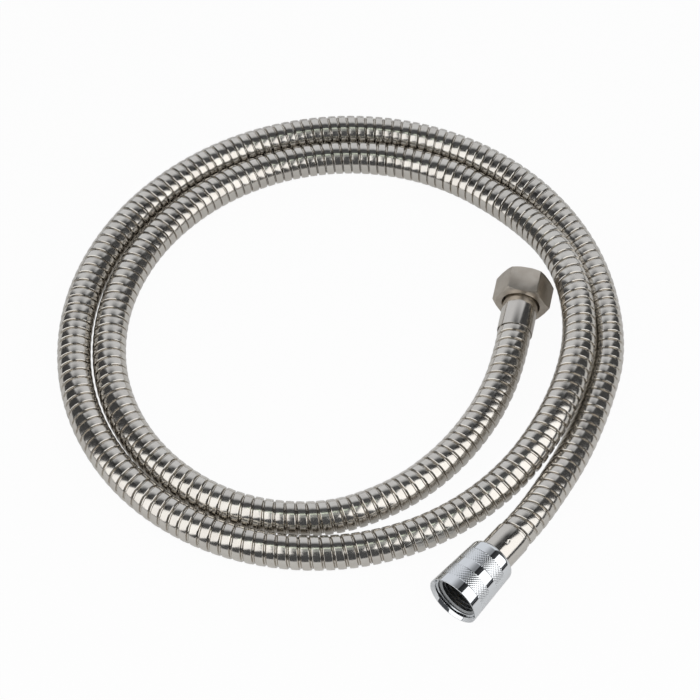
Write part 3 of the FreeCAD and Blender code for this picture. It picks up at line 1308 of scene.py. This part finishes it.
@dataclass
class Studio:
    """Camera, white paper, white backdrop and the softboxes, in metres.

    In the metal's reflections the room is dark but for the lamps, a glowing wall round the back
    and the paper near the object.
    """

    camera_at: Point = (0.0042, -0.7566, 1.0919)
    looks_at: Point = (0.0042, 0.0080, 0.0)
    lens_mm: float = 144.0
    sensor_mm: float = 36.0
    softboxes: tuple[Softbox, ...] = (
        Softbox(
            "left_softbox",
            corner=(-0.934, -0.05, 0.02),
            first_edge=(0.824, -0.072, 0.78),
            second_edge=(-0.065, -0.75, 0.0),
            brightness=1.0,
        ),
        Softbox(
            "right_softbox",
            corner=(0.78, -0.01, 0.14),
            first_edge=(-0.50, 0.0, 0.66),
            second_edge=(0.0, -0.72, 0.0),
            brightness=1.12,
        ),
        Softbox(
            "overhead_strip",
            corner=(-0.25, -0.20, 1.30),
            first_edge=(0.5, 0.0, 0.0),
            second_edge=(0.0, 0.13, 0.0),
            brightness=1.0,
            colour="#E8F6E4",
        ),
        Softbox(
            "dim_panel",
            corner=(-0.30, -0.70, 1.32),
            first_edge=(0.7, 0.0, 0.0),
            second_edge=(0.0, 0.50, 0.0),
            brightness=0.25,
            colour="#EEF4F0",
        ),
    )
    room_colour: str = "#F4F8FF"
    room_light: float = 0.09
    wall_colour: str = "#F7FAFF"
    wall_sides: int = 96
    wall_radius: float = 0.75
    wall_height: float = 1.7
    wall_light: float = 0.82
    wall_fades: tuple[float, float] = (0.65, 1.75)
    left_wing: Point = (-0.60, -0.53, 0.08)
    right_wing: Point = (0.61, 0.54, 0.08)
    paper_colour: str = "#F4F4F4"
    paper_size: float = 6.0
    paper_height: float = -0.0002
    paper_whitening: float = 0.96
    paper_fades: tuple[float, float] = (0.18, 0.42)
    paper_glow: float = 0.25

    def build(self) -> None:
        """Sets up the whole studio."""
        scene = bpy.context.scene
        scene.view_settings.view_transform = "Standard"
        lens = bpy.data.cameras.new("camera")
        lens.lens = self.lens_mm
        lens.sensor_width = self.sensor_mm
        camera = bpy.data.objects.new("camera", lens)
        camera.location = self.camera_at
        view = Vector(self.looks_at) - Vector(self.camera_at)
        camera.rotation_euler = view.to_track_quat("-Z", "Y").to_euler()
        bpy.context.collection.objects.link(camera)
        scene.camera = camera
        for softbox in self.softboxes:
            softbox.place()
        self._world()
        self._floor()
        self._wall()

    def _world(self) -> None:
        """A white backdrop to the camera, and a dark room to everything else."""
        world = bpy.data.worlds.new("studio")
        bpy.context.scene.world = world
        world.use_nodes = True
        tree = world.node_tree
        tree.nodes.clear()
        light_path = add_node(tree, "ShaderNodeLightPath")
        room = add_node(
            tree,
            "ShaderNodeBackground",
            {"Color": linear(self.room_colour), "Strength": self.room_light},
        )
        white = add_node(tree, "ShaderNodeBackground", {"Color": linear(WHITE), "Strength": 1.0})
        seen = light_path.outputs["Is Camera Ray"]
        mix = add_node(
            tree, "ShaderNodeMixShader", links={0: seen, 1: room.outputs[0], 2: white.outputs[0]}
        )
        add_node(tree, "ShaderNodeOutputWorld", links={0: mix.outputs[0]})

    def _floor(self) -> None:
        """White paper: the camera sees it nearly white, with the object's faint shadow."""
        deselect()
        bpy.ops.mesh.primitive_plane_add(
            size=self.paper_size, location=(0.0, 0.0, self.paper_height)
        )
        floor = bpy.context.object
        floor.name = "floor"
        made = empty_material("white_paper")
        tree = made.node_tree
        light_path = add_node(tree, "ShaderNodeLightPath")
        paper = add_node(tree, "ShaderNodeBsdfDiffuse", {"Color": linear(self.paper_colour)})
        seen = self._mirrored_paper(tree, light_path, paper.outputs[0])
        glow = add_node(tree, "ShaderNodeEmission", {"Color": linear(WHITE), "Strength": 1.0})
        share = add_node(
            tree,
            "ShaderNodeMath",
            {"operation": "MULTIPLY", 1: self.paper_whitening},
            {0: light_path.outputs["Is Camera Ray"]},
        )
        mix = add_node(
            tree,
            "ShaderNodeMixShader",
            links={0: share.outputs[0], 1: seen, 2: glow.outputs[0]},
        )
        add_node(tree, "ShaderNodeOutputMaterial", links={"Surface": mix.outputs[0]})
        floor.data.materials.append(made)

    def _mirrored_paper(
        self, tree: bpy.types.NodeTree, light_path: bpy.types.Node, paper: bpy.types.NodeSocket
    ) -> bpy.types.NodeSocket:
        """In reflections, lights the paper near the object a little and darkens the rest.

        Args:
            tree: the paper's node tree.
            light_path: the node that tells a reflection from other rays.
            paper: the plain paper's shader.

        Returns:
            The shader that every ray but the camera's own gets.
        """
        place = add_node(tree, "ShaderNodeTexCoord").outputs["Object"]
        away = add_node(tree, "ShaderNodeVectorMath", {"operation": "LENGTH"}, {0: place})
        fades = {
            "interpolation_type": "SMOOTHSTEP",
            "From Min": self.paper_fades[0],
            "From Max": self.paper_fades[1],
        }
        sockets = {"Value": away.outputs["Value"]}
        near = fades | {"To Min": 1.0, "To Max": 0.0}
        strength = add_node(tree, "ShaderNodeMapRange", near, sockets).outputs[0]
        beyond = fades | {"To Min": self.paper_glow, "To Max": 1.0}
        cover = add_node(tree, "ShaderNodeMapRange", beyond, sockets).outputs[0]
        glow = add_node(
            tree, "ShaderNodeEmission", {"Color": linear(WHITE)}, {"Strength": strength}
        )
        share = add_node(
            tree,
            "ShaderNodeMath",
            {"operation": "MULTIPLY"},
            {0: cover, 1: light_path.outputs["Is Glossy Ray"]},
        )
        mix = add_node(
            tree,
            "ShaderNodeMixShader",
            links={0: share.outputs[0], 1: paper, 2: glow.outputs[0]},
        )
        return mix.outputs[0]

    def _wall(self) -> None:
        """A glowing white wall round the back, which fades upwards and towards its ends."""
        deselect()
        bpy.ops.mesh.primitive_cylinder_add(
            vertices=self.wall_sides,
            radius=self.wall_radius,
            depth=self.wall_height,
            end_fill_type="NOTHING",
            location=(0.0, 0.0, self.wall_height / 2),
        )
        wall = bpy.context.object
        wall.name = "back_wall"
        bpy.ops.object.transform_apply(location=True, rotation=True, scale=True)
        with edit_mode():
            bpy.ops.mesh.bisect(plane_co=(0, 0, 0), plane_no=(0, 1, 0), clear_inner=True)
        made = empty_material("glowing_wall")
        tree = made.node_tree
        place = add_node(tree, "ShaderNodeTexCoord").outputs["Object"]
        axes = add_node(tree, "ShaderNodeSeparateXYZ", links={0: place})
        spans = [("Z", *self.wall_fades, self.wall_light, 0.0)]
        spans += [("X", *wing, 1.0) for wing in (self.left_wing, self.right_wing)]
        strength = None
        for axis, start, end, first, last in spans:
            fade = add_node(
                tree,
                "ShaderNodeMapRange",
                {
                    "interpolation_type": "SMOOTHSTEP",
                    "From Min": start,
                    "From Max": end,
                    "To Min": first,
                    "To Max": last,
                },
                {"Value": axes.outputs[axis]},
            ).outputs[0]
            if strength is None:
                strength = fade
                continue
            both = {0: strength, 1: fade}
            product = add_node(tree, "ShaderNodeMath", {"operation": "MULTIPLY"}, both)
            strength = product.outputs[0]
        colour = {"Color": linear(self.wall_colour)}
        glow = add_node(tree, "ShaderNodeEmission", colour, {"Strength": strength})
        add_node(tree, "ShaderNodeOutputMaterial", links={"Surface": glow.outputs[0]})
        wall.data.materials.append(made)
        wall.visible_camera = False


def dress_hidden_pieces() -> None:
    """Gives the pieces inside the ends, which keep their solids' shapes, their finishes."""
    finishes = {
        "inner_liner": BLACK_RUBBER,
        "hex_nipple": TURNED_BRASS,
        "grip_nipple": TURNED_BRASS,
        "hex_slip_ring": WHITE_ACETAL,
        "grip_slip_ring": WHITE_ACETAL,
    }
    for node, finish in finishes.items():
        dress(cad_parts[node], finish)


def main() -> None:
    """Builds the hose, its ends and the studio."""
    logging.basicConfig(level=logging.INFO, format="%(message)s")
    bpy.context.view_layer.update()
    hex_end = HoseEnd(seat_mm=(86.5, 30.7, 12.0), heading_deg=78.0)
    grip_end = HoseEnd(seat_mm=(58.0, -126.8, 12.85), heading_deg=-130.0)
    stations = Stations(Route(hex_end, grip_end).line())
    hose = StripWoundSheath(stations).build()
    pieces = [hose]
    pieces += HexUnion(hex_end).build()
    pieces.append(Sleeve(hex_end, "hex_sleeve", "hex_ferrule", length=21.7).build())
    pieces.append(Seal(hex_end, "hex_seal", "hex_washer").build())
    grip_pieces = GripUnion(grip_end).build()
    punch_mark = (-22.7, -18.0)
    sleeve = Sleeve(grip_end, "grip_sleeve", "grip_ferrule", length=30.0, dimple=punch_mark)
    grip_pieces.append(sleeve.build())
    grip_pieces.append(Seal(grip_end, "grip_seal", "grip_washer").build())
    pieces += grip_pieces
    dress_hidden_pieces()

    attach(hose, "root")
    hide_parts("outer_sheath")
    Studio().build()
    for piece in pieces:
        LOG.info("%s: %d faces", piece.name, len(piece.data.polygons))


if __name__ == "__main__":
    main()
